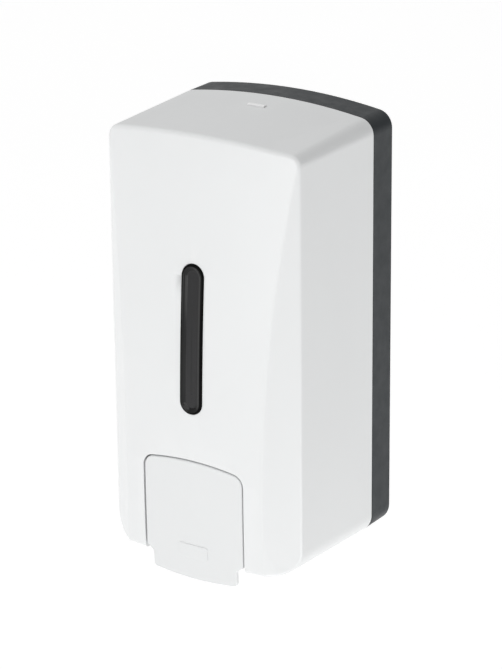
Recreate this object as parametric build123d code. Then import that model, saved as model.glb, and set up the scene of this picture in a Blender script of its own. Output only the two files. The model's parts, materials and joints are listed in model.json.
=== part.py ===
from build123d import *
from math import atan2, cos, pi, radians, sin, sqrt, tan
import os

# Wall mounted soap dispenser with a push lever and a refillable tank.
# Heights are measured up from the lowest edge of the wall plate and depths out
# from the wall, along -Y, in millimetres. Every piece is moved down by
# screw_centre_height when it is written, so the origin of the finished part is
# the middle of the four wall screws, on the wall.

# --- casing, seen from outside ------------------------------------------------
height = 250.0                  # wall plate, lowest to highest edge
plate_half_width = 62.2
plate_depth = 19.0              # the wall plate's rim, out from the wall
plate_base = 3.0
rim_wall = 2.5
top_crown = 5.5                 # how far the top edge bows up
bottom_crown = 6.1
top_radius = 9.2
bottom_radius = 11.6
front_depth = 105.9             # the front panel at its fullest
fullest_height = 50.0
front_rise = 15.5               # the fullest point, in front of where the sides end
front_top_fall = 12.1           # how far the panel's top edge lies behind its fullest point
front_side_fall = 3.52          # how far the panel lies back at the width of the sides
flank_angle = 39.4              # slanted flanks, from the wall's plane
side_draft = 1.15               # how far the sides, top and bottom lean in as they come forward
top_draft = 3.5
bottom_draft = 4.6
front_top_crown = 4.1           # the outline where the sides end
front_bottom_crown = 2.0
front_top_radius = 6.6
front_bottom_radius = 13.0
cover_wall = 2.5
parting_gap = 0.4
front_edge_fillet = 2.6

# --- wall screws ----------------------------------------------------------------
screw_spacing_across = 80.0
screw_hole_radius = 2.5
low_screw_height = 26.0
top_screw_drop = 14.0

# --- cover hinge ----------------------------------------------------------------
hinge_depth = plate_depth + parting_gap / 2
hinge_height = 6.0
hinge_pin_radius = 1.25
hinge_lug_radius = 3.0
hinge_ear_inset = 23.7          # inner side of the ears, in from the plate's side
hinge_ear_width = 4.0
hinge_lug_width = 5.0
side_clearance = 0.4
running_clearance = 0.05
lug_clearance = 0.8
rim_relief_inset = 5.7

# --- sight window ---------------------------------------------------------------
window_low = 92.6
window_high = 177.3
window_half_width = 7.2
window_fit = 0.2
window_proud = 1.2
window_edge = 1.0
window_flange = 3.0
window_flange_thickness = 1.5

# --- push lever -----------------------------------------------------------------
lever_top = 65.1
lever_top_curve = 152.0
lever_half_width = 31.9
lever_corner = 6.5
lever_gap = 0.9
lever_skin = 2.5
lever_rim_depth = 6.5
lever_rim_wall = 2.2
lever_edge = 0.8
lever_side_low = 8.8            # the sides end here and slant in to the lip
lip_step = 4.3                  # how far the slant goes in
lip_rise = 3.2                  # how far the slant goes down
lip_low = -5.2
lip_thickness = 2.0
lip_arch = 1.8
lip_corner = 2.5
lever_pin_inset = 10.9          # lever pin, behind the panel's fullest point
lever_pin_height = 60.0
lever_pin_radius = 1.5
lever_lug_radius = 3.4
lever_ear_inner = 16.0
lever_ear_width = 4.0
pin_lug_gap = 4.1               # lever's side to the lugs that hold the pin
pin_lug_width = 4.5
thumb_pad_half_width = 9.5
thumb_pad_low = 7.7
thumb_pad_high = 15.8
thumb_pad_proud = 0.4
thumb_pad_corner = 1.5

# --- pump -----------------------------------------------------------------------
push_gap = 0.3                  # lever pad to plunger head at rest
push_pad_radius = 4.0
push_pad_half_width = 6.0
stroke = 9.8
head_clearance = 1.9            # plunger head to barrel cap at full stroke
barrel_rear = 24.0
bore_radius = 7.5
barrel_wall = 3.0
barrel_end_wall = 3.0
rod_radius = 3.0
head_radius = 8.0
head_thickness = 3.0
piston_inset = 9.0              # piston front to barrel front, at rest
piston_length = 6.0
piston_clearance = 0.2
seal_wire = 1.2
cap_skirt = 12.0
cap_wall = 2.2
cap_front = 3.0
spring_gap = 1.5                # spring to bore
spring_wire = 0.6
spring_turns = 8
flange_half_width = 27.0
flange_half_height = 15.0
flange_thickness = 3.0
flange_screw_across = 21.5
flange_screw_up = 9.5
small_screw_radius = 1.5
small_screw_length = 12.0
small_head_radius = 3.0
small_head_height = 2.0
boss_radius = 3.8
valve_depth = 38.0              # inlet riser and tank neck, out from the wall
riser_radius = 9.0
cup_wall = 3.0
cup_floor = 52.0
cup_height = 6.0
chamber_radius = 6.0
port_radius = 3.5
ball_radius = 4.0
ball_lift = 1.5
ball_clearance = 0.05
seat_hole_radius = 3.0
seat_thickness = 4.0
outlet_height = 6.5
outlet_drop = 6.0               # outlet channel, below the barrel's bore
outlet_radius = 4.8
outlet_bore = 2.4
spigot_radius = 5.5
spigot_bore = 2.8
spigot_low = 1.0
valve_flange_radius = 5.4
valve_flange = 1.2
valve_length = 5.0
nozzle_radius = 8.0
nozzle_low = -3.2
nozzle_high = 8.0
nozzle_hole = 3.8
nozzle_gap = 1.0                # nozzle to barrel cap

# --- tank -----------------------------------------------------------------------
shelf_top = 74.0
shelf_thickness = 3.0
shelf_side_gap = 17.2           # shelf and tank, in from the plate's side
shelf_front_gap = 12.4          # shelf and tank, behind where the sides end
tank_side_gap = 10.2
tank_front_gap = 6.4
tank_top_gap = 42.0
tank_rear = 8.0
tank_wall = 2.0
tank_radius = 8.0
gasket_thickness = 3.0
neck_radius = 11.0
neck_wall = 3.0
neck_seal_thickness = 2.0
neck_clearance = 0.3
nut_wall = 6.0
nut_height = 10.0
nut_flats = 8
gasket_width = 7.0
filler_half_width = 30.0
filler_depth = 36.0
filler_middle = 46.0
collar_wall = 2.0
collar_height = 2.0
lid_seal_thickness = 1.0
lid_overhang = 2.0
lid_thickness = 2.0
lid_pin_radius = 1.25
lid_knuckle_radius = 2.8
lid_pin_depth = 20.0
lid_knuckle_inner = 16.0
lid_knuckle_width = 5.0
lid_ear_width = 4.0

# --- cover latch ----------------------------------------------------------------
latch_depth = 38.0
latch_half_width = 5.3
latch_thickness = 2.6
latch_slot_gap = 0.3
latch_travel = 3.0
latch_proud = 0.8
latch_foot_drop = 5.0           # foot's underside, below the guide's top
latch_arm_thickness = 2.5
latch_arm_half_width = 4.5
latch_tooth_depth = 11.0
latch_tooth_length = 2.5
latch_tooth_rise = 2.1
keeper_depth = 14.5
keeper_length = 2.5
keeper_half_width = 8.0
keeper_clearance = 0.5
guide_drop = 7.0                # guide's top, below the casing's highest edge
guide_height = 17.0
guide_floor = 1.5
guide_wall = 1.5
guide_half_depth = 6.0
guide_ear_half_width = 19.0
guide_screw_across = 15.0
latch_screw_length = 6.0
latch_spring_radius = 2.6
latch_spring_wire = 0.45
latch_spring_turns = 6


def arc_radius(half_chord, rise):
    """Radius of the arc that rises this much over half its chord."""
    return (half_chord**2 + rise**2) / (2 * rise)


# --- worked out from the values above -------------------------------------------
side_depth = front_depth - front_rise
front_half_width = plate_half_width - side_draft
front_height = height - top_draft
front_curve_up = arc_radius(front_height - fullest_height, front_top_fall)
front_curve_across = arc_radius(front_half_width, front_side_fall)

screw_spacing_up = height - top_screw_drop - low_screw_height
screw_centre_height = low_screw_height + screw_spacing_up / 2
hinge_ear_inner = plate_half_width - hinge_ear_inset
rim_relief_half_width = plate_half_width - rim_relief_inset

lip_half_width = lever_half_width - lip_step
lever_pin_depth = front_depth - lever_pin_inset
pin_lug_inner = lever_half_width + pin_lug_gap

head_front = lever_pin_depth - push_pad_radius - push_gap
barrel_front = head_front - head_thickness - stroke - head_clearance - cap_front
barrel_radius = bore_radius + barrel_wall
piston_front = barrel_front - piston_inset
piston_rear = piston_front - piston_length
seal_middle = (piston_rear + piston_front) / 2
seal_ring_radius = bore_radius - running_clearance - seal_wire
spring_radius = bore_radius - spring_gap - spring_wire
pump_height = outlet_height + outlet_drop + bore_radius
outlet_depth = barrel_front - cap_skirt - nozzle_radius - nozzle_gap
cup_radius = neck_radius + cup_wall
neck_low = cup_floor + neck_seal_thickness
seat_low = cup_floor - seat_thickness
ball_top = seat_low - sqrt(ball_radius**2 - seat_hole_radius**2) - ball_clearance
ball_rest = ball_top - ball_lift
chamber_floor = ball_rest - sqrt(ball_radius**2 - port_radius**2)

shelf_half_width = plate_half_width - shelf_side_gap
shelf_front = side_depth - shelf_front_gap
tank_bottom = shelf_top + gasket_thickness
tank_top = height - tank_top_gap
tank_half_width = plate_half_width - tank_side_gap
tank_front = side_depth - tank_front_gap
tank_middle = (tank_rear + tank_front) / 2
tank_depth = tank_front - tank_rear
neck_bore = neck_radius - neck_wall
nut_radius = neck_radius + nut_wall
gasket_radius = neck_radius + gasket_width
lid_low = tank_top + collar_height + lid_seal_thickness
lid_pin_height = lid_low + lid_thickness / 2

guide_top = height - guide_drop
guide_low = guide_top - guide_height
guide_ear_low = guide_top - 2 * guide_wall
latch_foot_low = guide_top - latch_foot_drop
latch_screw_end = guide_ear_low + latch_screw_length


# --- placing helpers --------------------------------------------------------------
def block(x0, x1, depth0, depth1, low, high):
    """A box between two values each way."""
    middle = ((x0 + x1) / 2, -(depth0 + depth1) / 2, (low + high) / 2)
    return Pos(*middle) * Box(x1 - x0, depth1 - depth0, high - low)


def rod_across(radius, depth, level, x0, x1):
    """A round bar along X."""
    return Pos((x0 + x1) / 2, -depth, level) * Rot(0, 90, 0) * Cylinder(radius, x1 - x0)


def rod_out(radius, x, level, depth0, depth1):
    """A round bar along the depth."""
    return Pos(x, -(depth0 + depth1) / 2, level) * Rot(90, 0, 0) * Cylinder(radius, depth1 - depth0)


def rod_up(radius, x, depth, low, high):
    """A round bar along the height."""
    return Pos(x, -depth, (low + high) / 2) * Cylinder(radius, high - low)


def slab(sketch, depth0, depth1):
    """A sketch in width and height, given thickness between two depths."""
    return extrude(Plane.XZ.offset(depth0) * sketch, amount=depth1 - depth0)


def both_sides(piece):
    """The piece and its mirror image in the plane X = 0."""
    return piece + mirror(piece, Plane.YZ)


# --- shapes of the casing -----------------------------------------------------------
def casing_outline(depth, inset):
    """The casing's outline in width and height at one depth, inset all round."""
    share = (depth - plate_depth) / (side_depth - plate_depth)
    half = plate_half_width - share * side_draft - inset
    top = height - share * top_draft - inset
    low = share * bottom_draft + inset
    rise = top_crown + share * (front_top_crown - top_crown)
    drop = bottom_crown + share * (front_bottom_crown - bottom_crown)
    upper = top_radius + share * (front_top_radius - top_radius) - inset
    lower = bottom_radius + share * (front_bottom_radius - bottom_radius) - inset
    face = make_face([
        ThreePointArc((-half, top - rise), (0, top), (half, top - rise)),
        Line((half, top - rise), (half, low + drop)),
        ThreePointArc((half, low + drop), (0, low), (-half, low + drop)),
        Line((-half, low + drop), (-half, top - rise)),
    ])
    corners = face.vertices().sort_by(Axis.Y)
    face = fillet(corners[-2:], upper)
    return fillet(face.vertices().sort_by(Axis.Y)[:2], lower)


def casing_sides(depth0, depth1, inset):
    """The casing between two depths, as if it had no front panel."""
    rear = Plane.XZ.offset(depth0) * casing_outline(depth0, inset)
    front = Plane.XZ.offset(depth1) * casing_outline(depth1, inset)
    return loft([rear, front], ruled=True)


def front_dome(inset):
    """All that lies behind the front panel's double curve."""
    axis_depth = front_depth - front_curve_across
    reach = height / 2
    low = fullest_height - reach
    high = fullest_height + 2 * reach

    def depth_at(level):
        fall = front_curve_up - sqrt(front_curve_up**2 - (level - fullest_height)**2)
        return front_depth - inset - fall

    side_view = Plane((0, 0, 0), x_dir=(0, -1, 0), z_dir=(-1, 0, 0))
    section = make_face([
        Line((axis_depth, low), (depth_at(low), low)),
        ThreePointArc(
            (depth_at(low), low), (front_depth - inset, fullest_height), (depth_at(high), high)),
        Line((depth_at(high), high), (axis_depth, high)),
        Line((axis_depth, high), (axis_depth, low)),
    ])
    return revolve(side_view * section, Axis((0, -axis_depth, 0), (0, 0, 1)), 360)


def flank_prism(inset):
    """All that lies behind the two slanted flanks."""
    slant = radians(flank_angle)
    edge = front_half_width - inset / sin(slant)
    wide = plate_half_width * 1.2
    nose = front_depth * 1.1
    wide_depth = side_depth - (wide - edge) * tan(slant)
    nose_half = edge - (nose - side_depth) / tan(slant)
    plan = Polyline(
        (-wide, 0), (wide, 0), (wide, -wide_depth), (nose_half, -nose),
        (-nose_half, -nose), (-wide, -wide_depth), close=True)
    return extrude(Pos(0, 0, -height) * make_face(plan), amount=3 * height)


def cover_body(depth0, inset):
    """The cover as a filled block, inset all round, from one depth to its front."""
    return casing_sides(depth0, front_depth * 1.05, inset) & flank_prism(inset) & front_dome(inset)


def front_edges(shape):
    """Edges that lie wholly in front of where the sides end."""
    samples = (0, 0.25, 0.5, 0.75, 1)
    limit = side_depth - front_edge_fillet / 2
    return ShapeList(
        edge for edge in shape.edges() if all(-(edge @ share).Y > limit for share in samples))


# --- wall plate -----------------------------------------------------------------------
def wall_plate():
    rim = slab(casing_outline(plate_depth, 0), 0, plate_depth)
    tray = slab(casing_outline(plate_depth, rim_wall), plate_base, plate_depth + 1)
    plate = rim - tray
    plate -= block(-rim_relief_half_width, rim_relief_half_width,
                   plate_depth - hinge_height - lug_clearance, plate_depth + 1,
                   -1, hinge_height + hinge_lug_radius)
    plate += plate_ribs() + tank_shelf() + hinge_ears() + latch_keeper()
    for x in (-flange_screw_across, flange_screw_across):
        for level in (pump_height - flange_screw_up, pump_height + flange_screw_up):
            plate += rod_out(boss_radius, x, level, plate_base, barrel_rear - flange_thickness)
            pilot_end = barrel_rear - flange_thickness
            plate -= rod_out(small_screw_radius + running_clearance, x, level,
                             barrel_rear - small_screw_length, pilot_end + 1)
    for x in (-screw_spacing_across / 2, screw_spacing_across / 2):
        for level in (low_screw_height, low_screw_height + screw_spacing_up):
            plate -= rod_out(screw_hole_radius, x, level, -1, plate_base + 1)
    return plate


def plate_ribs():
    """Low ribs that stiffen the plate behind the tank."""
    ribs = Part()
    rib_half = 0.8
    front = tank_rear - 1.5
    low = shelf_top
    high = tank_top
    for x in (-tank_half_width * 0.6, 0, tank_half_width * 0.6):
        ribs += block(x - rib_half, x + rib_half, plate_base, front, low, high)
    for share in (0.25, 0.5, 0.75):
        level = low + share * (high - low)
        ribs += block(-tank_half_width, tank_half_width, plate_base, front,
                      level - rib_half, level + rib_half)
    return ribs


def tank_shelf():
    """Shelf that the tank stands on, with a gusset at each end."""
    low = shelf_top - shelf_thickness
    shelf = block(-shelf_half_width, shelf_half_width, plate_base, shelf_front, low, shelf_top)
    shelf = fillet(shelf.edges().filter_by(Axis.Z).sort_by(Axis.Y)[:2], tank_radius)
    shelf -= rod_up(neck_radius + neck_clearance, 0, valve_depth, low - 1, shelf_top + 1)
    side_view = Plane((-shelf_half_width + rim_wall, 0, 0), x_dir=(0, -1, 0), z_dir=(-1, 0, 0))
    gusset_drop = low / 2
    gusset = extrude(
        side_view * make_face(Polyline(
            (plate_base, low), (shelf_front * 0.8, low), (plate_base, low - gusset_drop), close=True)),
        amount=rim_wall)
    return shelf + both_sides(gusset)


def hinge_ears():
    """Two ears at the plate's foot that hold the hinge pins."""
    outer = hinge_ear_inner + hinge_ear_width
    ear = rod_across(hinge_lug_radius, hinge_depth, hinge_height, hinge_ear_inner, outer)
    ear += block(hinge_ear_inner, outer, plate_base / 2, hinge_depth,
                 hinge_height - hinge_lug_radius / 3, hinge_height + hinge_lug_radius)
    ear -= rod_across(hinge_pin_radius, hinge_depth, hinge_height, hinge_ear_inner - 1, outer + 1)
    return both_sides(ear)


def latch_keeper():
    """Rib under the plate's top rim that the latch tooth sits behind."""
    tooth_top = latch_foot_low + latch_arm_thickness + latch_tooth_rise
    return block(-keeper_half_width, keeper_half_width, keeper_depth, keeper_depth + keeper_length,
                 tooth_top + keeper_clearance, height - rim_wall)


def hinge_pins():
    lug_outer = hinge_ear_inner + hinge_ear_width + side_clearance + hinge_lug_width
    return both_sides(rod_across(hinge_pin_radius, hinge_depth, hinge_height,
                                 hinge_ear_inner, lug_outer))


# --- front cover ----------------------------------------------------------------------
def front_cover():
    rear = plate_depth + parting_gap
    outer = cover_body(rear, 0)
    outer = fillet(front_edges(outer), front_edge_fillet)
    inner = cover_body(rear - 1, cover_wall)
    cover = outer - inner
    cover += hinge_lugs(rear) + lever_pin_lugs() + latch_bosses()
    cover -= hinge_room()
    cover -= slab(lever_opening(), lever_pin_depth - 8, front_depth + 5)
    bottom_half = lever_half_width + lever_gap
    cover -= block(-bottom_half, bottom_half, rear - 1, front_depth, -1,
                   bottom_draft + front_bottom_crown + cover_wall)
    cover -= slab(stadium(window_half_width, window_low, window_high),
                  side_depth, front_depth + 5)
    cover -= block(-latch_half_width - latch_slot_gap, latch_half_width + latch_slot_gap,
                   latch_depth - latch_thickness / 2 - latch_slot_gap,
                   latch_depth + latch_thickness / 2 + latch_slot_gap,
                   guide_top, height + 1)
    return cover


def hinge_lugs(rear):
    """Lugs of the cover beside the plate's ears."""
    inner = hinge_ear_inner + hinge_ear_width + side_clearance
    outer = inner + hinge_lug_width
    lug = rod_across(hinge_lug_radius, hinge_depth, hinge_height, inner, outer)
    lug += block(inner, outer, rear, rear + 2 * hinge_lug_radius,
                 hinge_height - hinge_lug_radius / 2, hinge_height + hinge_lug_radius)
    return both_sides(lug)


def hinge_room():
    """Room in the cover for the plate's ears and for the hinge pins."""
    inner = hinge_ear_inner - side_clearance
    outer = hinge_ear_inner + hinge_ear_width + side_clearance
    ear_room = rod_across(hinge_lug_radius + lug_clearance, hinge_depth, hinge_height, inner, outer)
    pin_hole = rod_across(hinge_pin_radius + running_clearance, hinge_depth, hinge_height,
                          outer - 1, outer + hinge_lug_width + 1)
    return both_sides(ear_room + pin_hole)


def lever_pin_lugs():
    """Lugs behind the front panel, one each side of the lever."""
    outer = pin_lug_inner + pin_lug_width
    lug = rod_across(lever_lug_radius, lever_pin_depth, lever_pin_height, pin_lug_inner, outer)
    lug += block(pin_lug_inner, outer, lever_pin_depth, front_depth,
                 lever_pin_height - lever_lug_radius, lever_pin_height + lever_lug_radius)
    lug = lug & front_dome(cover_wall / 2)
    lug -= rod_across(lever_pin_radius, lever_pin_depth, lever_pin_height,
                      pin_lug_inner - 1, outer + 1)
    return both_sides(lug)


def latch_bosses():
    """Bosses under the cover's top that the latch guide is screwed to."""
    boss = rod_up(boss_radius, guide_screw_across, latch_depth, guide_top, height - cover_wall)
    boss -= rod_up(small_screw_radius + running_clearance, guide_screw_across, latch_depth,
                   guide_top - 1, latch_screw_end + running_clearance)
    return both_sides(boss)


def stadium(half_width, low, high):
    """A slot shape with round ends, in width and height."""
    return Pos(0, (low + high) / 2) * SlotOverall(high - low, 2 * half_width, rotation=90)


def lever_shape(half, top, low, radius):
    """The lever's outline: upright sides, a bowed top and round upper corners."""
    side_top = top - lever_top_curve + sqrt(lever_top_curve**2 - half**2)
    face = make_face([
        ThreePointArc((-half, side_top), (0, top), (half, side_top)),
        Polyline((half, side_top), (half, low), (-half, low), (-half, side_top)),
    ])
    return fillet(face.vertices().sort_by(Axis.Y)[-2:], radius)


def lever_opening():
    return lever_shape(lever_half_width + lever_gap, lever_top + lever_gap, -height / 10,
                       lever_corner + lever_gap)


# --- sight window -----------------------------------------------------------------------
def sight_window():
    half = window_half_width - window_fit
    low = window_low + window_fit
    high = window_high - window_fit
    pane = slab(stadium(half, low, high), side_depth, front_depth + 5)
    pane = pane & front_dome(-window_proud)
    pane = fillet(pane.faces().sort_by(Axis.Y)[0].edges(), window_edge)
    flange = slab(stadium(half + window_flange, low - window_flange, high + window_flange),
                  side_depth, front_depth + 5)
    flange = flange & front_dome(cover_wall)
    window = pane + flange
    return window - front_dome(cover_wall + window_flange_thickness)


# --- push lever -------------------------------------------------------------------------
def vertices_at(face, level):
    """The corners of an outline that lie at one height."""
    return ShapeList(corner for corner in face.vertices() if abs(corner.Y - level) < running_clearance)


def lever_face(inset):
    """The lever's front view, inset all round, slanting in to the narrower lip."""
    half = lever_half_width - inset
    lip_half = lip_half_width - inset
    slant = atan2(lip_rise, lip_step)
    side_low = lever_side_low + inset * tan((pi / 2 - slant) / 2)
    lip_top = side_low - lip_rise
    low = lip_low + inset
    foot = make_face([
        ThreePointArc((-lip_half, low + lip_arch), (0, low), (lip_half, low + lip_arch)),
        Polyline((lip_half, low + lip_arch), (lip_half, lip_top), (half, side_low),
                 (-half, side_low), (-lip_half, lip_top), (-lip_half, low + lip_arch)),
    ])
    foot = fillet(foot.vertices().sort_by(Axis.Y)[:2], lip_corner - inset)
    face = lever_shape(half, lever_top - inset, side_low, lever_corner - inset) + foot
    face = fillet(vertices_at(face, side_low), lip_corner - inset)
    return fillet(vertices_at(face, lip_top), lip_corner + inset)


def push_lever():
    front = front_depth + 5
    whole = slab(lever_face(0), side_depth, front)
    middle = slab(lever_face(lever_rim_wall), side_depth, front)
    lever = whole & front_dome(0)
    lever = fillet(lever.faces().sort_by(Axis.Y)[0].edges(), lever_edge)
    lever -= front_dome(lever_rim_depth)
    lever -= middle & front_dome(lever_skin)
    lip_back = block(-lever_half_width, lever_half_width, side_depth, front_depth + 1,
                     2 * lip_low, lever_side_low)
    lever -= lip_back & front_dome(lip_thickness)
    lever += thumb_pad() + push_arm() + lever_ears()
    return lever


def thumb_pad():
    """A low raised pad near the lever's foot."""
    outline = Pos(0, (thumb_pad_low + thumb_pad_high) / 2) * RectangleRounded(
        2 * thumb_pad_half_width, thumb_pad_high - thumb_pad_low, thumb_pad_corner)
    pad = slab(outline, side_depth, front_depth + 5) & front_dome(-thumb_pad_proud)
    pad = fillet(pad.faces().sort_by(Axis.Y)[0].edges(), thumb_pad_proud * 0.8)
    return pad - front_dome(lever_skin / 2)


def push_arm():
    """The rib behind the lever, with the round pad that pushes the plunger."""
    arm = rod_across(push_pad_radius, lever_pin_depth, pump_height,
                     -push_pad_half_width, push_pad_half_width)
    arm += block(-push_pad_half_width, push_pad_half_width, lever_pin_depth, front_depth,
                 pump_height - push_pad_radius, pump_height + push_pad_radius)
    return arm & front_dome(lever_skin / 2)


def lever_ears():
    """Two ears behind the lever that turn on the lever pin."""
    outer = lever_ear_inner + lever_ear_width
    ear = rod_across(lever_lug_radius, lever_pin_depth, lever_pin_height, lever_ear_inner, outer)
    ear += block(lever_ear_inner, outer, lever_pin_depth, front_depth,
                 lever_pin_height - lever_lug_radius, lever_pin_height + lever_lug_radius)
    ear = ear & front_dome(lever_skin / 2)
    ear -= rod_across(lever_pin_radius + running_clearance, lever_pin_depth, lever_pin_height,
                      lever_ear_inner - 1, outer + 1)
    return both_sides(ear)


def lever_pin():
    reach = pin_lug_inner + pin_lug_width
    return rod_across(lever_pin_radius, lever_pin_depth, lever_pin_height, -reach, reach)


# --- tank -------------------------------------------------------------------------------
def soap_tank():
    outer = Pos(0, -tank_middle, (tank_bottom + tank_top) / 2) * Box(
        2 * tank_half_width, tank_depth, tank_top - tank_bottom)
    outer = fillet(outer.edges().filter_by(Axis.Z), tank_radius)
    outer = fillet(outer.edges(), tank_wall)
    hollow = Pos(0, -tank_middle, (tank_bottom + tank_top) / 2) * Box(
        2 * (tank_half_width - tank_wall), tank_depth - 2 * tank_wall,
        tank_top - tank_bottom - 2 * tank_wall)
    hollow = fillet(hollow.edges().filter_by(Axis.Z), tank_radius - tank_wall)
    tank = outer + filler_block(collar_wall, tank_top - tank_wall, tank_top + collar_height)
    tank += rod_up(neck_radius, 0, valve_depth, neck_low, tank_bottom + tank_wall)
    tank += lid_ears()
    tank -= hollow
    tank -= filler_block(0, tank_top - 2 * tank_wall, tank_top + 2 * collar_height)
    tank -= rod_up(neck_bore, 0, valve_depth, neck_low - 1, tank_bottom + 2 * tank_wall)
    return tank


def filler_block(grow, low, high):
    """The filler opening as a block with round corners, made larger all round."""
    outline = RectangleRounded(2 * (filler_half_width + grow), filler_depth + 2 * grow,
                               tank_radius / 2 + grow)
    return extrude(Pos(0, -filler_middle, low) * outline, amount=high - low)


def lid_ears():
    """Two ears on the tank's top for the lid's pin."""
    inner = lid_knuckle_inner + lid_knuckle_width + side_clearance
    outer = inner + lid_ear_width
    ear = rod_across(lid_knuckle_radius, lid_pin_depth, lid_pin_height, inner, outer)
    ear += block(inner, outer, lid_pin_depth - lid_knuckle_radius,
                 lid_pin_depth + lid_knuckle_radius, tank_top - tank_wall / 2, lid_pin_height)
    ear -= rod_across(lid_pin_radius, lid_pin_depth, lid_pin_height, inner - 1, outer + 1)
    return both_sides(ear)


def filler_lid():
    lid = filler_block(collar_wall + lid_overhang, lid_low, lid_low + lid_thickness)
    plate_rear = filler_middle - filler_depth / 2 - collar_wall
    grip_depth = filler_middle + filler_depth / 2 + collar_wall + lid_overhang
    lid += block(-tank_radius, tank_radius, grip_depth - 1, grip_depth + tank_radius / 2,
                 lid_low, lid_low + lid_thickness)
    inner = lid_knuckle_inner
    outer = inner + lid_knuckle_width
    knuckle = rod_across(lid_knuckle_radius, lid_pin_depth, lid_pin_height, inner, outer)
    knuckle += block(inner, outer, lid_pin_depth, plate_rear, lid_low, lid_low + lid_thickness)
    knuckle -= rod_across(lid_pin_radius + running_clearance, lid_pin_depth, lid_pin_height,
                          inner - 1, outer + 1)
    return lid + both_sides(knuckle)


def lid_seal():
    ring = filler_block(collar_wall, lid_low - lid_seal_thickness, lid_low)
    return ring - filler_block(0, lid_low - 2 * lid_seal_thickness, lid_low + 1)


def lid_pin():
    reach = lid_knuckle_inner + lid_knuckle_width + side_clearance + lid_ear_width
    return rod_across(lid_pin_radius, lid_pin_depth, lid_pin_height, -reach, reach)


def tank_gasket():
    ring = rod_up(gasket_radius, 0, valve_depth, shelf_top, tank_bottom)
    return ring - rod_up(neck_radius + neck_clearance, 0, valve_depth, shelf_top - 1, tank_bottom + 1)


def tank_nut():
    """Grooved ring nut under the shelf that holds the tank down."""
    high = shelf_top - shelf_thickness
    low = high - nut_height
    nut = rod_up(nut_radius, 0, valve_depth, low, high)
    for step in range(nut_flats):
        turn = 2 * pi * step / nut_flats
        nut -= rod_up(nut_radius / 8, nut_radius * sin(turn), valve_depth + nut_radius * cos(turn),
                      low - 1, high - nut_height / 5)
    return nut - rod_up(neck_radius + running_clearance, 0, valve_depth, low - 1, high + 1)


def neck_seal():
    ring = rod_up(neck_radius, 0, valve_depth, cup_floor, neck_low)
    return ring - rod_up(neck_bore, 0, valve_depth, cup_floor - 1, neck_low + 1)


# --- pump -------------------------------------------------------------------------------
def pump_body():
    body = rod_out(barrel_radius, 0, pump_height, barrel_rear, barrel_front)
    body += pump_flange()
    body += rod_up(riser_radius, 0, valve_depth, pump_height, cup_floor)
    body += rod_up(cup_radius, 0, valve_depth, cup_floor - barrel_end_wall, cup_floor + cup_height)
    body += rod_out(outlet_radius, 0, outlet_height, barrel_rear, outlet_depth)
    body += rod_up(spigot_radius, 0, outlet_depth, spigot_low, outlet_height + outlet_radius / 2)
    body -= rod_out(bore_radius, 0, pump_height, barrel_rear + barrel_end_wall, barrel_front + 1)
    body -= rod_up(neck_radius + neck_clearance, 0, valve_depth, cup_floor, cup_floor + cup_height + 1)
    body -= rod_up(chamber_radius, 0, valve_depth, chamber_floor, cup_floor + 1)
    body -= rod_up(port_radius, 0, valve_depth, pump_height, chamber_floor + 1)
    for half_x, half_y in ((chamber_radius, 1.0), (1.0, chamber_radius)):
        body -= block(-half_x, half_x, valve_depth - half_y, valve_depth + half_y,
                      chamber_floor - ball_lift, chamber_floor + 1)
    body -= rod_up(outlet_bore, 0, valve_depth, outlet_height, pump_height)
    body -= rod_out(outlet_bore, 0, outlet_height, valve_depth - outlet_bore, outlet_depth)
    body -= rod_up(spigot_bore, 0, outlet_depth, spigot_low - 1, outlet_height)
    return body


def pump_flange():
    """The pump's mounting plate with four screw holes."""
    outline = Pos(0, pump_height) * RectangleRounded(
        2 * flange_half_width, 2 * flange_half_height, boss_radius)
    flange = slab(outline, barrel_rear - flange_thickness, barrel_rear)
    for x in (-flange_screw_across, flange_screw_across):
        for level in (pump_height - flange_screw_up, pump_height + flange_screw_up):
            flange -= rod_out(small_screw_radius + running_clearance, x, level,
                              barrel_rear - flange_thickness - 1, barrel_rear + 1)
    return flange


def small_screw(length):
    """A cross-head screw along Z, its head's underside at the origin, pointing down."""
    head = Pos(0, 0, small_head_height / 2) * Cylinder(small_head_radius, small_head_height)
    head = fillet(head.edges().sort_by(Axis.Z)[-1], small_head_height / 2)
    shank = Pos(0, 0, -length / 2) * Cylinder(small_screw_radius, length)
    slot_length = small_head_radius * 1.1
    slot_width = small_head_radius / 4
    cross = Box(slot_length, slot_width, small_head_height)
    cross += Box(slot_width, slot_length, small_head_height)
    return head + shank - Pos(0, 0, small_head_height) * cross


def pump_screws():
    screws = Part()
    for x in (-flange_screw_across, flange_screw_across):
        for level in (pump_height - flange_screw_up, pump_height + flange_screw_up):
            screws += Pos(x, -barrel_rear, level) * Rot(90, 0, 0) * small_screw(small_screw_length)
    return screws


def valve_seat():
    ring = rod_up(chamber_radius, 0, valve_depth, seat_low, cup_floor)
    return ring - rod_up(seat_hole_radius, 0, valve_depth, seat_low - 1, cup_floor + 1)


def inlet_ball():
    return Pos(0, -valve_depth, ball_rest) * Sphere(ball_radius)


def plunger():
    body = rod_out(head_radius, 0, pump_height, head_front - head_thickness, head_front)
    body = fillet(body.edges(), head_thickness / 3)
    body += rod_out(rod_radius, 0, pump_height, piston_rear, head_front - head_thickness / 2)
    body += rod_out(bore_radius - piston_clearance, 0, pump_height, piston_rear, piston_front)
    groove_half = seal_wire + running_clearance
    groove = rod_out(bore_radius, 0, pump_height, seal_middle - groove_half, seal_middle + groove_half)
    groove -= rod_out(seal_ring_radius - groove_half, 0, pump_height, piston_rear, piston_front)
    return body - groove


def piston_seal():
    return Pos(0, -seal_middle, pump_height) * Rot(90, 0, 0) * Torus(seal_ring_radius, seal_wire)


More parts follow.
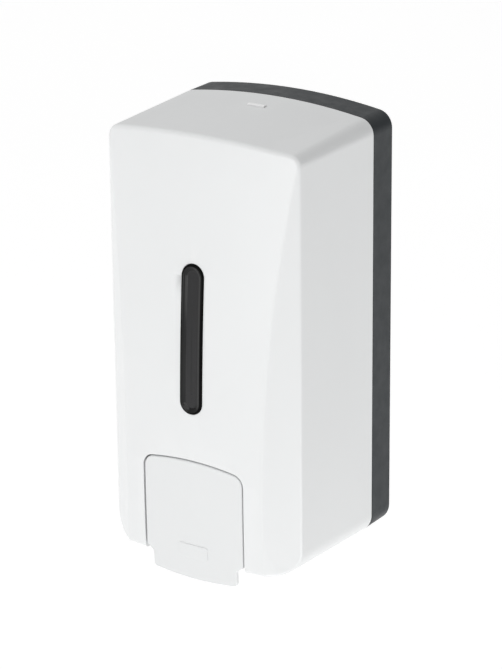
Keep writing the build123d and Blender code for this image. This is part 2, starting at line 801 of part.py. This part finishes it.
def coil_spring(radius, wire, length, turns):
    """A coil spring up from the origin, its ends one wire radius inside the length."""
    rise = length - 2 * wire
    path = Pos(0, 0, wire) * Helix(pitch=rise / turns, height=rise, radius=radius)
    section = Plane(origin=path @ 0, z_dir=path % 0) * Circle(wire)
    return sweep(section, path=path)


def plunger_spring():
    start = barrel_rear + barrel_end_wall
    spring = coil_spring(spring_radius, spring_wire, piston_rear - start, spring_turns)
    return Pos(0, -start, pump_height) * Rot(90, 0, 0) * spring


def barrel_cap():
    """Screw cap that closes the barrel and guides the plunger's rod."""
    front = barrel_front + cap_front
    outer = barrel_radius + running_clearance + cap_wall
    cap = rod_out(outer, 0, pump_height, barrel_front - cap_skirt, front)
    cap = fillet(cap.edges().sort_by(Axis.Y)[0], cap_wall / 2)
    grip_count = 16
    for step in range(grip_count):
        turn = 2 * pi * step / grip_count
        cap -= rod_out(cap_wall / 3, outer * sin(turn), pump_height + outer * cos(turn),
                       barrel_front - cap_skirt - 1, front - cap_wall)
    cap -= rod_out(barrel_radius + running_clearance, 0, pump_height,
                   barrel_front - cap_skirt - 1, barrel_front)
    return cap - rod_out(rod_radius + running_clearance, 0, pump_height, barrel_front - 1, front + 1)


def outlet_valve():
    """Rubber duckbill under the outlet spigot."""
    flange = rod_up(valve_flange_radius, 0, outlet_depth, spigot_low - valve_flange, spigot_low)
    bill_low = spigot_low - valve_flange - valve_length
    wide = Pos(0, -outlet_depth, spigot_low - valve_flange) * Circle(outlet_bore + 1)
    flat = Pos(0, -outlet_depth, bill_low) * RectangleRounded(2 * outlet_bore, 1.2, 0.5)
    bill = loft([wide, flat])
    slit = Pos(0, -outlet_depth, bill_low) * Box(1.4 * outlet_bore, 0.3, 2 * valve_length)
    bore = rod_up(outlet_bore - 0.6, 0, outlet_depth, bill_low + valve_length / 2, spigot_low + 1)
    return flange + bill - (slit + bore)


def nozzle():
    """Nut that holds the outlet valve against the spigot."""
    cup = rod_up(nozzle_radius, 0, outlet_depth, nozzle_low, nozzle_high)
    cup = fillet(cup.edges().sort_by(Axis.Z)[0], 1.5)
    cup -= rod_up(spigot_radius + running_clearance, 0, outlet_depth,
                  spigot_low - valve_flange, nozzle_high + 1)
    cup -= rod_up(nozzle_hole, 0, outlet_depth, nozzle_low - 1, spigot_low)
    channel = outlet_radius + neck_clearance
    cup -= block(-channel, channel, outlet_depth - nozzle_radius - 1, outlet_depth,
                 outlet_height - channel, nozzle_high + 1)
    return cup


# --- cover latch ------------------------------------------------------------------------
def latch_slider():
    """Button blade, foot and the arm whose tooth sits behind the plate's keeper."""
    fall = top_draft * (latch_depth - plate_depth) / (side_depth - plate_depth)
    top = height - fall + latch_proud
    half = latch_thickness / 2
    arm_top = latch_foot_low + latch_arm_thickness
    blade = block(-latch_half_width, latch_half_width, latch_depth - half, latch_depth + half,
                  latch_foot_low, top)
    blade = fillet(blade.edges().filter_by(Axis.X).sort_by(Axis.Z)[-2:], latch_thickness / 4)
    arm = block(-latch_arm_half_width, latch_arm_half_width, latch_tooth_depth, latch_depth + half,
                latch_foot_low, arm_top)
    tooth = block(-latch_arm_half_width, latch_arm_half_width, latch_tooth_depth,
                  latch_tooth_depth + latch_tooth_length, latch_foot_low, arm_top + latch_tooth_rise)
    return blade + arm + tooth


def latch_guide():
    """Cage screwed under the cover's top, round the latch and its spring."""
    room = latch_half_width + latch_slot_gap
    cage_half = room + guide_wall
    inner_depth = guide_half_depth - guide_wall
    guide = block(-cage_half, cage_half, latch_depth - guide_half_depth,
                  latch_depth + guide_half_depth, guide_low, guide_top)
    guide += block(-guide_ear_half_width, guide_ear_half_width, latch_depth - guide_half_depth,
                   latch_depth + guide_half_depth, guide_ear_low, guide_top)
    guide -= block(-room, room, latch_depth - inner_depth, latch_depth + inner_depth,
                   guide_low + guide_floor, guide_top + 1)
    arm_room = latch_arm_half_width + latch_slot_gap
    guide -= block(-arm_room, arm_room, latch_depth - guide_half_depth - 1, latch_depth,
                   latch_foot_low - latch_travel - 1, guide_top + 1)
    for x in (-guide_screw_across, guide_screw_across):
        guide -= rod_up(small_screw_radius + running_clearance, x, latch_depth,
                        guide_ear_low - 1, guide_top + 1)
    return guide


def latch_spring():
    length = latch_foot_low - guide_low - guide_floor
    spring = coil_spring(latch_spring_radius, latch_spring_wire, length, latch_spring_turns)
    return Pos(0, -latch_depth, guide_low + guide_floor) * spring


def latch_screws():
    place = Pos(guide_screw_across, -latch_depth, guide_ear_low) * Rot(180, 0, 0)
    return both_sides(place * small_screw(latch_screw_length))


# --- write one file for each piece ------------------------------------------------------
pieces = {
    "wall_plate": wall_plate(),
    "front_cover": front_cover(),
    "hinge_pins": hinge_pins(),
    "sight_window": sight_window(),
    "push_lever": push_lever(),
    "lever_pin": lever_pin(),
    "latch_slider": latch_slider(),
    "latch_guide": latch_guide(),
    "latch_spring": latch_spring(),
    "latch_screws": latch_screws(),
    "soap_tank": soap_tank(),
    "filler_lid": filler_lid(),
    "lid_seal": lid_seal(),
    "lid_pin": lid_pin(),
    "tank_gasket": tank_gasket(),
    "tank_nut": tank_nut(),
    "neck_seal": neck_seal(),
    "pump_body": pump_body(),
    "pump_screws": pump_screws(),
    "valve_seat": valve_seat(),
    "inlet_ball": inlet_ball(),
    "plunger": plunger(),
    "piston_seal": piston_seal(),
    "plunger_spring": plunger_spring(),
    "barrel_cap": barrel_cap(),
    "outlet_valve": outlet_valve(),
    "nozzle": nozzle(),
}

os.makedirs("parts", exist_ok=True)
for name, piece in pieces.items():
    export_step(Pos(0, 0, -screw_centre_height) * piece, f"parts/{name}.step")
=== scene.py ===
import json
from math import cos, pi, radians, sin

import bmesh
import bpy
from mathutils import Matrix, Vector
from mathutils.bvhtree import BVHTree


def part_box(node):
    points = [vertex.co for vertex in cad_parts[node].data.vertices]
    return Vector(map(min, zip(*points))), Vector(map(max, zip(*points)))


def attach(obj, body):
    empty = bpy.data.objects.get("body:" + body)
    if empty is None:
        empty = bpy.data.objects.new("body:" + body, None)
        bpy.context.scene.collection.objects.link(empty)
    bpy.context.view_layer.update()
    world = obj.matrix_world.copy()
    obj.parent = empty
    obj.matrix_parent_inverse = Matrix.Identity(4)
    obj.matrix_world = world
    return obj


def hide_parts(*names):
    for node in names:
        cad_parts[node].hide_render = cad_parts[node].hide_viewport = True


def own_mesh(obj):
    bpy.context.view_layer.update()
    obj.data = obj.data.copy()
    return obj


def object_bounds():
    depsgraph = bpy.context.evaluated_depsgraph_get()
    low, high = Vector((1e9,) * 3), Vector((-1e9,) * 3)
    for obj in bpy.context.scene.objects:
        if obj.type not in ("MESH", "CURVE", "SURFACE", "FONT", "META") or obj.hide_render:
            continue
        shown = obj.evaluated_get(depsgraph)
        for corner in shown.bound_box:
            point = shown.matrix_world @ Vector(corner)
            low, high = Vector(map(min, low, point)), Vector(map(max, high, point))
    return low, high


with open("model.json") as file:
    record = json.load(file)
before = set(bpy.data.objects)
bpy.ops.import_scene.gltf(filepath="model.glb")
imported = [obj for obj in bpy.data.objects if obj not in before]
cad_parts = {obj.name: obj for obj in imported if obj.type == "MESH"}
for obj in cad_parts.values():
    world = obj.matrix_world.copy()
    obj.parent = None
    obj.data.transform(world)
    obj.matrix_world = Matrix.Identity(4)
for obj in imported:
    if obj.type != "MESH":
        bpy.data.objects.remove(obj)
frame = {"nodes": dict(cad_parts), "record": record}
cad_low, cad_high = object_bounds()

# Sizes are in metres and colours are linear.
CENTRE = (cad_low + cad_high) / 2
SHARP_EDGE = radians(50)         # a mesh edge that turns more than this is not smoothed

# --- camera, at the angle the object is seen from ------------------------------
CAMERA_AZIMUTH = 33.45
CAMERA_ELEVATION = 20.23
CAMERA_ROLL = -0.58
CAMERA_DISTANCE = 1.571
PLATE_LOW, PLATE_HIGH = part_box("wall_plate")
CAMERA_AIM = Vector((0.0048, CENTRE.y, (PLATE_LOW[2] + PLATE_HIGH[2]) / 2 - 0.0017))
CAMERA_LENS = 154.05
CAMERA_SENSOR = 36.0

# --- light and floor -------------------------------------------------------------
FLOOR_DROP = 0.30
FLOOR_SIZE = 30.0
FLOOR_GLOW = 0.352
SKY_LEVEL = 0.26                # brightness of the studio straight ahead, on the horizon
SKY_RIGHTWARD = -0.40           # how it changes toward +X
SKY_UPWARD = 0.66               # and toward the zenith
SKY_LEAST = 0.02
FRONT_POWER = 6.7
HIGH_POWER = 0.13
LOW_POWER = 0.6

# --- sight window ------------------------------------------------------------------
# Each ring is how far in from the window's outline it lies, and how far proud of the
# front panel. The back and its flange come first, then the front from the rim inward.
WINDOW_FLANGE = 0.003
WINDOW_BACK = ((0.0068, -0.0040), (-WINDOW_FLANGE, -0.0040), (-WINDOW_FLANGE, -0.0026), (0.0, -0.0026))
WINDOW_RIM = ((0.0, 0.0003), (0.0002, 0.0008), (0.0006, 0.0010), (0.0012, 0.00105))
WINDOW_BEVEL = ((0.0015, 0.0010), (0.0018, 0.0008), (0.0033, 0.0002), (0.0036, 0.00012))
WINDOW_STRIP = ((0.0040, 0.0001), (0.0055, 0.0001), (0.0068, 0.0001))
WINDOW_ARC_STEPS = 32
WINDOW_SIDE_STEPS = 24
PANEL_PROBE = 0.012             # beside the window, where the panel's surface is measured

# --- springs ----------------------------------------------------------------------
# The CAD node, its body, the joint that presses it, the axis it works along, the end that
# moves (0 low, 1 high), its turns and its wire's radius.
SPRINGS = (("plunger_spring", "plunger", "plunger_slide", 1, 0, 8, 0.0006),
           ("latch_spring", "latch", "latch_press", 2, 1, 6, 0.00045))
SPRING_STEPS = 24               # rings in a turn
WIRE_SIDES = 10


# --- small node helpers ------------------------------------------------------------
class Shader:
    """Builds one material node by node."""

    def __init__(self, name, colour, roughness):
        self.material = bpy.data.materials.new(name)
        self.material.use_nodes = True
        self.tree = self.material.node_tree
        self.surface = self.tree.nodes["Principled BSDF"]
        self.colour = (*colour, 1.0)
        self.set("Base Color", self.colour)
        self.set("Roughness", roughness)
        self.place = self.node("ShaderNodeTexCoord").outputs["Object"]

    def set(self, socket, value):
        self.surface.inputs[socket].default_value = value

    def node(self, kind, **values):
        made = self.tree.nodes.new(kind)
        for name, value in values.items():
            if name in made.inputs:
                made.inputs[name].default_value = value
            else:
                setattr(made, name, value)
        return made

    def link(self, source, target):
        self.tree.links.new(source, target)

    def noise(self, scale, detail=2.0, roughness=0.5):
        made = self.node("ShaderNodeTexNoise")
        made.inputs["Scale"].default_value = scale
        made.inputs["Detail"].default_value = detail
        made.inputs["Roughness"].default_value = roughness
        self.link(self.place, made.inputs["Vector"])
        return made.outputs["Fac"]

    def spread(self, source, low, high, start=0.3, end=0.7):
        """Maps a 0 to 1 value onto a range."""
        made = self.node("ShaderNodeMapRange")
        made.inputs["From Min"].default_value = start
        made.inputs["From Max"].default_value = end
        made.inputs["To Min"].default_value = low
        made.inputs["To Max"].default_value = high
        self.link(source, made.inputs["Value"])
        return made.outputs["Result"]

    def mix(self, share, first, second):
        """A colour between two colours."""
        made = self.node("ShaderNodeMix", data_type="RGBA")
        self.link(share, made.inputs["Factor"])
        for socket, colour in ((made.inputs[6], first), (made.inputs[7], second)):
            if isinstance(colour, tuple):
                socket.default_value = colour
            else:
                self.link(colour, socket)
        return made.outputs[2]

    def shade(self, factor):
        """The material's own colour, lighter or darker."""
        return tuple(min(1.0, c * factor) for c in self.colour[:3]) + (1.0,)

    def edges(self):
        """1 on sharp outer edges, 0 elsewhere."""
        point = self.node("ShaderNodeNewGeometry").outputs["Pointiness"]
        return self.spread(point, 0.0, 1.0, 0.51, 0.56)

    def bump(self, source, distance, strength=1.0, under=None):
        made = self.node("ShaderNodeBump")
        made.inputs["Strength"].default_value = strength
        made.inputs["Distance"].default_value = distance
        self.link(source, made.inputs["Height"])
        if under is not None:
            self.link(under, made.inputs["Normal"])
        return made.outputs["Normal"]


def moulded_plastic(name, colour, roughness, grain=0.00001, waver=0.03):
    """Moulded plastic: fine grain, slight sink, uneven gloss, and sharp edges lightened as a painted
    highlight.
    """
    shader = Shader(name, colour, roughness)
    cloud = shader.noise(18.0, 3.0)
    speck = shader.noise(2600.0, 2.0)
    tone = shader.mix(shader.spread(cloud, 0.0, 1.0), shader.shade(1 - waver), shader.shade(1 + waver / 2))
    # Painted highlight: sharp outer edges are made lighter, as if they catch the light.
    edge_highlight = shader.mix(shader.edges(), tone, shader.shade(1 + 2 * waver))
    shader.link(edge_highlight, shader.surface.inputs["Base Color"])
    scuff = shader.noise(140.0, 5.0, 0.65)
    shader.link(shader.spread(scuff, roughness * 0.85, roughness * 1.2),
                shader.surface.inputs["Roughness"])
    sink = shader.bump(cloud, grain * 4, 0.5)
    shader.link(shader.bump(speck, grain, 0.6, sink), shader.surface.inputs["Normal"])
    return shader


# --- materials ----------------------------------------------------------------------
def cover_white():
    shader = moulded_plastic("cover_white", (0.775, 0.785, 0.787), 0.36, waver=0.008)
    shader.set("Coat Weight", 0.15)
    shader.set("Coat Roughness", 0.2)
    return shader.material


def lever_white():
    shader = moulded_plastic("lever_white", (0.745, 0.755, 0.757), 0.38, waver=0.01)
    shader.set("Coat Weight", 0.1)
    return shader.material


def button_white():
    return moulded_plastic("button_white", (0.90, 0.90, 0.90), 0.3).material


def plate_grey():
    shader = moulded_plastic("plate_grey", (0.022, 0.026, 0.029), 0.45, grain=0.00003, waver=0.08)
    shader.set("Specular IOR Level", 0.3)
    return shader.material


def polished_smoke(name, colour, specular):
    """Polished smoked plastic."""
    shader = moulded_plastic(name, colour, 0.1, grain=0.000001, waver=0.1)
    shader.set("Specular IOR Level", specular)
    return shader.material


def window_smoke():
    return polished_smoke("window_smoke", (0.012, 0.012, 0.013), 0.36)


# Painted shade: a darker, less glossy copy of the window smoke, for the bevel.
def window_bevel_painted_shade():
    return polished_smoke("window_bevel_painted_shade", (0.006, 0.0062, 0.0064), 0.24)


# Painted shade: a near-black, barely reflecting copy of the window smoke, standing in for the shadowed
# groove round the window.
def window_rim_painted_shade():
    return polished_smoke("window_rim_painted_shade", (0.002, 0.002, 0.002), 0.05)


def tank_natural():
    shader = moulded_plastic("tank_natural", (0.78, 0.80, 0.80), 0.4, waver=0.02)
    shader.set("Transmission Weight", 0.35)
    return shader.material


def lid_white():
    return moulded_plastic("lid_white", (0.72, 0.73, 0.72), 0.48).material


def fitting_grey():
    return moulded_plastic("fitting_grey", (0.20, 0.21, 0.22), 0.5, waver=0.08).material


def pump_white():
    return moulded_plastic("pump_white", (0.70, 0.71, 0.69), 0.45).material


def seal_rubber():
    return moulded_plastic("seal_rubber", (0.025, 0.025, 0.026), 0.7, grain=0.00004, waver=0.15).material


def steel():
    """Drawn stainless steel, with fine lines along its length."""
    shader = Shader("steel", (0.56, 0.56, 0.57), 0.28)
    shader.set("Metallic", 1.0)
    lines = shader.noise(900.0, 4.0, 0.7)
    shader.link(shader.spread(lines, 0.2, 0.4), shader.surface.inputs["Roughness"])
    tone = shader.mix(shader.spread(lines, 0.0, 1.0), shader.shade(0.9), shader.shade(1.08))
    shader.link(tone, shader.surface.inputs["Base Color"])
    shader.link(shader.bump(lines, 0.00001, 0.5), shader.surface.inputs["Normal"])
    return shader.material


MAKERS = (cover_white, lever_white, button_white, plate_grey, window_smoke, window_bevel_painted_shade,
          window_rim_painted_shade, tank_natural, lid_white, fitting_grey, pump_white, seal_rubber, steel)


def paint():
    """Gives every CAD node the material of its slot in the record."""
    made = {maker.__name__: maker() for maker in MAKERS}
    for part in frame["record"]["subparts"]:
        node = frame["nodes"][part["node"]]
        node.data.materials.clear()
        node.data.materials.append(made[part["material_slot"]])
    return made


# --- sight window --------------------------------------------------------------------
def panel_surface(low, high):
    """The front panel's Y as a smooth function of X and Z, measured beside the window."""
    mesh = frame["nodes"]["front_cover"].data
    tree = BVHTree.FromPolygons([v.co for v in mesh.vertices], [p.vertices for p in mesh.polygons])

    def touch(x, z):
        return tree.ray_cast(Vector((x, cad_low.y - 1, z)), Vector((0, 1, 0)))[0].y

    middle = (low + high) / 2
    reach = (high - low) / 2
    below, beside, above = (touch(PANEL_PROBE, z) for z in (low, middle, high))
    slope = (above - below) / (2 * reach)
    curve = (above - 2 * beside + below) / (2 * reach**2)
    bow = (touch(2 * PANEL_PROBE, middle) - beside) / (3 * PANEL_PROBE**2)

    def surface(x, z):
        rise = z - middle
        return beside + slope * rise + curve * rise**2 + bow * (x**2 - PANEL_PROBE**2)

    return surface


def slot_ring(half, low, high):
    """Points round a slot shape with round ends, the same number for every size."""
    points = []
    for start, centre in ((0, high - half), (pi, low + half)):
        for step in range(WINDOW_ARC_STEPS + 1):
            angle = start + pi * step / WINDOW_ARC_STEPS
            points.append((half * cos(angle), centre + half * sin(angle)))
        side = half * cos(start + pi)
        end = low + high - centre
        for step in range(1, WINDOW_SIDE_STEPS):
            points.append((side, centre + (end - centre) * step / WINDOW_SIDE_STEPS))
    return points


def add_window(materials):
    """The sight window: a rim in a near-black copy of the smoke as painted shade, a bevel that sinks
    inward in a darker copy as painted shade, and a flat middle strip.
    """
    corner_low, corner_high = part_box("sight_window")
    half = corner_high[0] - WINDOW_FLANGE
    low = corner_low[2] + WINDOW_FLANGE
    high = corner_high[2] - WINDOW_FLANGE
    surface = panel_surface(low, high)
    zones = (WINDOW_BACK, WINDOW_RIM, WINDOW_BEVEL, WINDOW_STRIP)
    # The rim and the bevel take the painted-shade copies of the smoke.
    finishes = (0, 2, 1, 0)
    shape = bmesh.new()
    rings = []
    ring_finish = []
    for zone, finish in zip(zones, finishes):
        for inset, proud in zone:
            outline = slot_ring(half - inset, low + inset, high - inset)
            rings.append([shape.verts.new((x, surface(x, z) - proud, z)) for x, z in outline])
            ring_finish.append(finish)
    count = len(rings[0])
    for first, second, finish in zip(rings, rings[1:], ring_finish[1:]):
        for i in range(count):
            j = (i + 1) % count
            shape.faces.new((first[i], first[j], second[j], second[i])).material_index = finish
    shape.faces.new(rings[0])
    shape.faces.new(rings[-1])
    bmesh.ops.recalc_face_normals(shape, faces=shape.faces)
    mesh = bpy.data.meshes.new("window_pane")
    shape.to_mesh(mesh)
    shape.free()
    mesh.polygons.foreach_set("use_smooth", [True] * len(mesh.polygons))
    mesh.set_sharp_from_angle(angle=SHARP_EDGE)
    for name in ("window_smoke", "window_bevel_painted_shade", "window_rim_painted_shade"):
        mesh.materials.append(materials[name])
    pane = bpy.data.objects.new("window_pane", mesh)
    bpy.context.collection.objects.link(pane)
    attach(pane, "cover")
    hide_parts("sight_window")


def add_spring(node, body, joint, along, moving, turns, wire, materials):
    """A coil of round wire in the CAD spring's place."""
    ends = [Vector(corner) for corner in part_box(node)]
    middle = (ends[0] + ends[1]) / 2
    side, other = [axis for axis in range(3) if axis != along]
    radius = (ends[1][side] - ends[0][side]) / 2 - wire
    length = ends[1][along] - ends[0][along]
    shape = bmesh.new()
    rings = []
    count = turns * SPRING_STEPS
    for step in range(count + 1):
        angle = 2 * pi * step / SPRING_STEPS
        centre = ends[0][along] + wire + (length - 2 * wire) * step / count
        ring = []
        for corner in range(WIRE_SIDES):
            tilt = 2 * pi * corner / WIRE_SIDES
            out = radius + wire * cos(tilt)
            point = middle.copy()
            point[side] += out * cos(angle)
            point[other] += out * sin(angle)
            point[along] = centre + wire * sin(tilt)
            ring.append(shape.verts.new(point))
        rings.append(ring)
    for first, second in zip(rings, rings[1:]):
        for i in range(WIRE_SIDES):
            j = (i + 1) % WIRE_SIDES
            shape.faces.new((first[i], first[j], second[j], second[i]))
    shape.faces.new(rings[0])
    shape.faces.new(rings[-1])
    bmesh.ops.recalc_face_normals(shape, faces=shape.faces)
    name = f"{body}_coil"
    mesh = bpy.data.meshes.new(name)
    shape.to_mesh(mesh)
    shape.free()
    mesh.polygons.foreach_set("use_smooth", [True] * len(mesh.polygons))
    mesh.set_sharp_from_angle(angle=SHARP_EDGE)
    mesh.materials.append(materials["steel"])
    coil = bpy.data.objects.new(name, mesh)
    bpy.context.collection.objects.link(coil)
    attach(coil, body)
    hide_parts(node)
    anchor = middle.copy()
    anchor[along] = ends[moving][along]
    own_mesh(coil)


# --- surroundings --------------------------------------------------------------------
def camera_frame():
    """The camera's directions: away from the object, right and up, with its roll."""
    azimuth = radians(CAMERA_AZIMUTH)
    elevation = radians(CAMERA_ELEVATION)
    back = Vector((sin(azimuth) * cos(elevation), -cos(azimuth) * cos(elevation), sin(elevation)))
    right = (-back).cross(Vector((0, 0, 1))).normalized()
    up = right.cross(-back)
    roll = radians(CAMERA_ROLL)
    return back, right * cos(roll) + up * sin(roll), up * cos(roll) - right * sin(roll)


def add_camera():
    data = bpy.data.cameras.new("camera")
    data.lens = CAMERA_LENS
    data.sensor_width = CAMERA_SENSOR
    camera = bpy.data.objects.new("camera", data)
    bpy.context.collection.objects.link(camera)
    back, right, up = camera_frame()
    turn = Matrix((right, up, back)).transposed().to_4x4()
    camera.matrix_world = Matrix.Translation(CAMERA_AIM + back * CAMERA_DISTANCE) @ turn
    bpy.context.scene.camera = camera


def add_floor():
    half = FLOOR_SIZE / 2
    level = cad_low.z - FLOOR_DROP
    mesh = bpy.data.meshes.new("floor")
    corners = [(x, y, level) for x, y in ((-half, -half), (half, -half), (half, half), (-half, half))]
    mesh.from_pydata(corners, [], [(0, 1, 2, 3)])
    floor = bpy.data.objects.new("floor", mesh)
    bpy.context.collection.objects.link(floor)
    shader = Shader("floor_pale", (0.9, 0.9, 0.9), 0.8)
    tone = shader.mix(shader.noise(3.0), shader.shade(0.99), shader.shade(1.01))
    shader.link(tone, shader.surface.inputs["Base Color"])
    shader.set("Emission Color", (1, 1, 1, 1))
    shader.set("Emission Strength", FLOOR_GLOW)
    mesh.materials.append(shader.material)


def add_area_light(name, azimuth, elevation, distance, size, power):
    data = bpy.data.lights.new(name, "AREA")
    data.shape = "SQUARE"
    data.size = size
    data.energy = power
    light = bpy.data.objects.new(name, data)
    bpy.context.collection.objects.link(light)
    a = radians(azimuth)
    e = radians(elevation)
    back = Vector((sin(a) * cos(e), -cos(a) * cos(e), sin(e)))
    light.location = CENTRE + back * distance
    light.visible_camera = False
    light.rotation_mode = "QUATERNION"
    light.rotation_quaternion = back.to_track_quat("Z", "Y")


def add_light():
    world = bpy.data.worlds.new("studio")
    world.use_nodes = True
    tree = world.node_tree
    direction = tree.nodes.new("ShaderNodeTexCoord").outputs["Generated"]
    slope = tree.nodes.new("ShaderNodeVectorMath")
    slope.operation = "DOT_PRODUCT"
    slope.inputs[1].default_value = (SKY_RIGHTWARD, 0, SKY_UPWARD)
    tree.links.new(direction, slope.inputs[0])
    level = tree.nodes.new("ShaderNodeMath")
    level.inputs[1].default_value = SKY_LEVEL
    tree.links.new(slope.outputs["Value"], level.inputs[0])
    least = tree.nodes.new("ShaderNodeMath")
    least.operation = "MAXIMUM"
    least.inputs[1].default_value = SKY_LEAST
    tree.links.new(level.outputs["Value"], least.inputs[0])
    tree.links.new(least.outputs["Value"], tree.nodes["Background"].inputs["Strength"])
    tree.nodes["Background"].inputs["Color"].default_value = (1, 1, 1, 1)
    bpy.context.scene.world = world
    bpy.context.scene.view_settings.view_transform = "Standard"
    add_area_light("front_box", -5, 5, 1.6, 1.0, FRONT_POWER)
    add_area_light("high_right_box", 66, 40, 0.45, 0.3, HIGH_POWER)
    add_area_light("low_right_box", 78, -32, 0.55, 0.25, LOW_POWER)


add_camera()
materials = paint()
add_window(materials)
for spring in SPRINGS:
    add_spring(*spring, materials)
add_floor()
add_light()
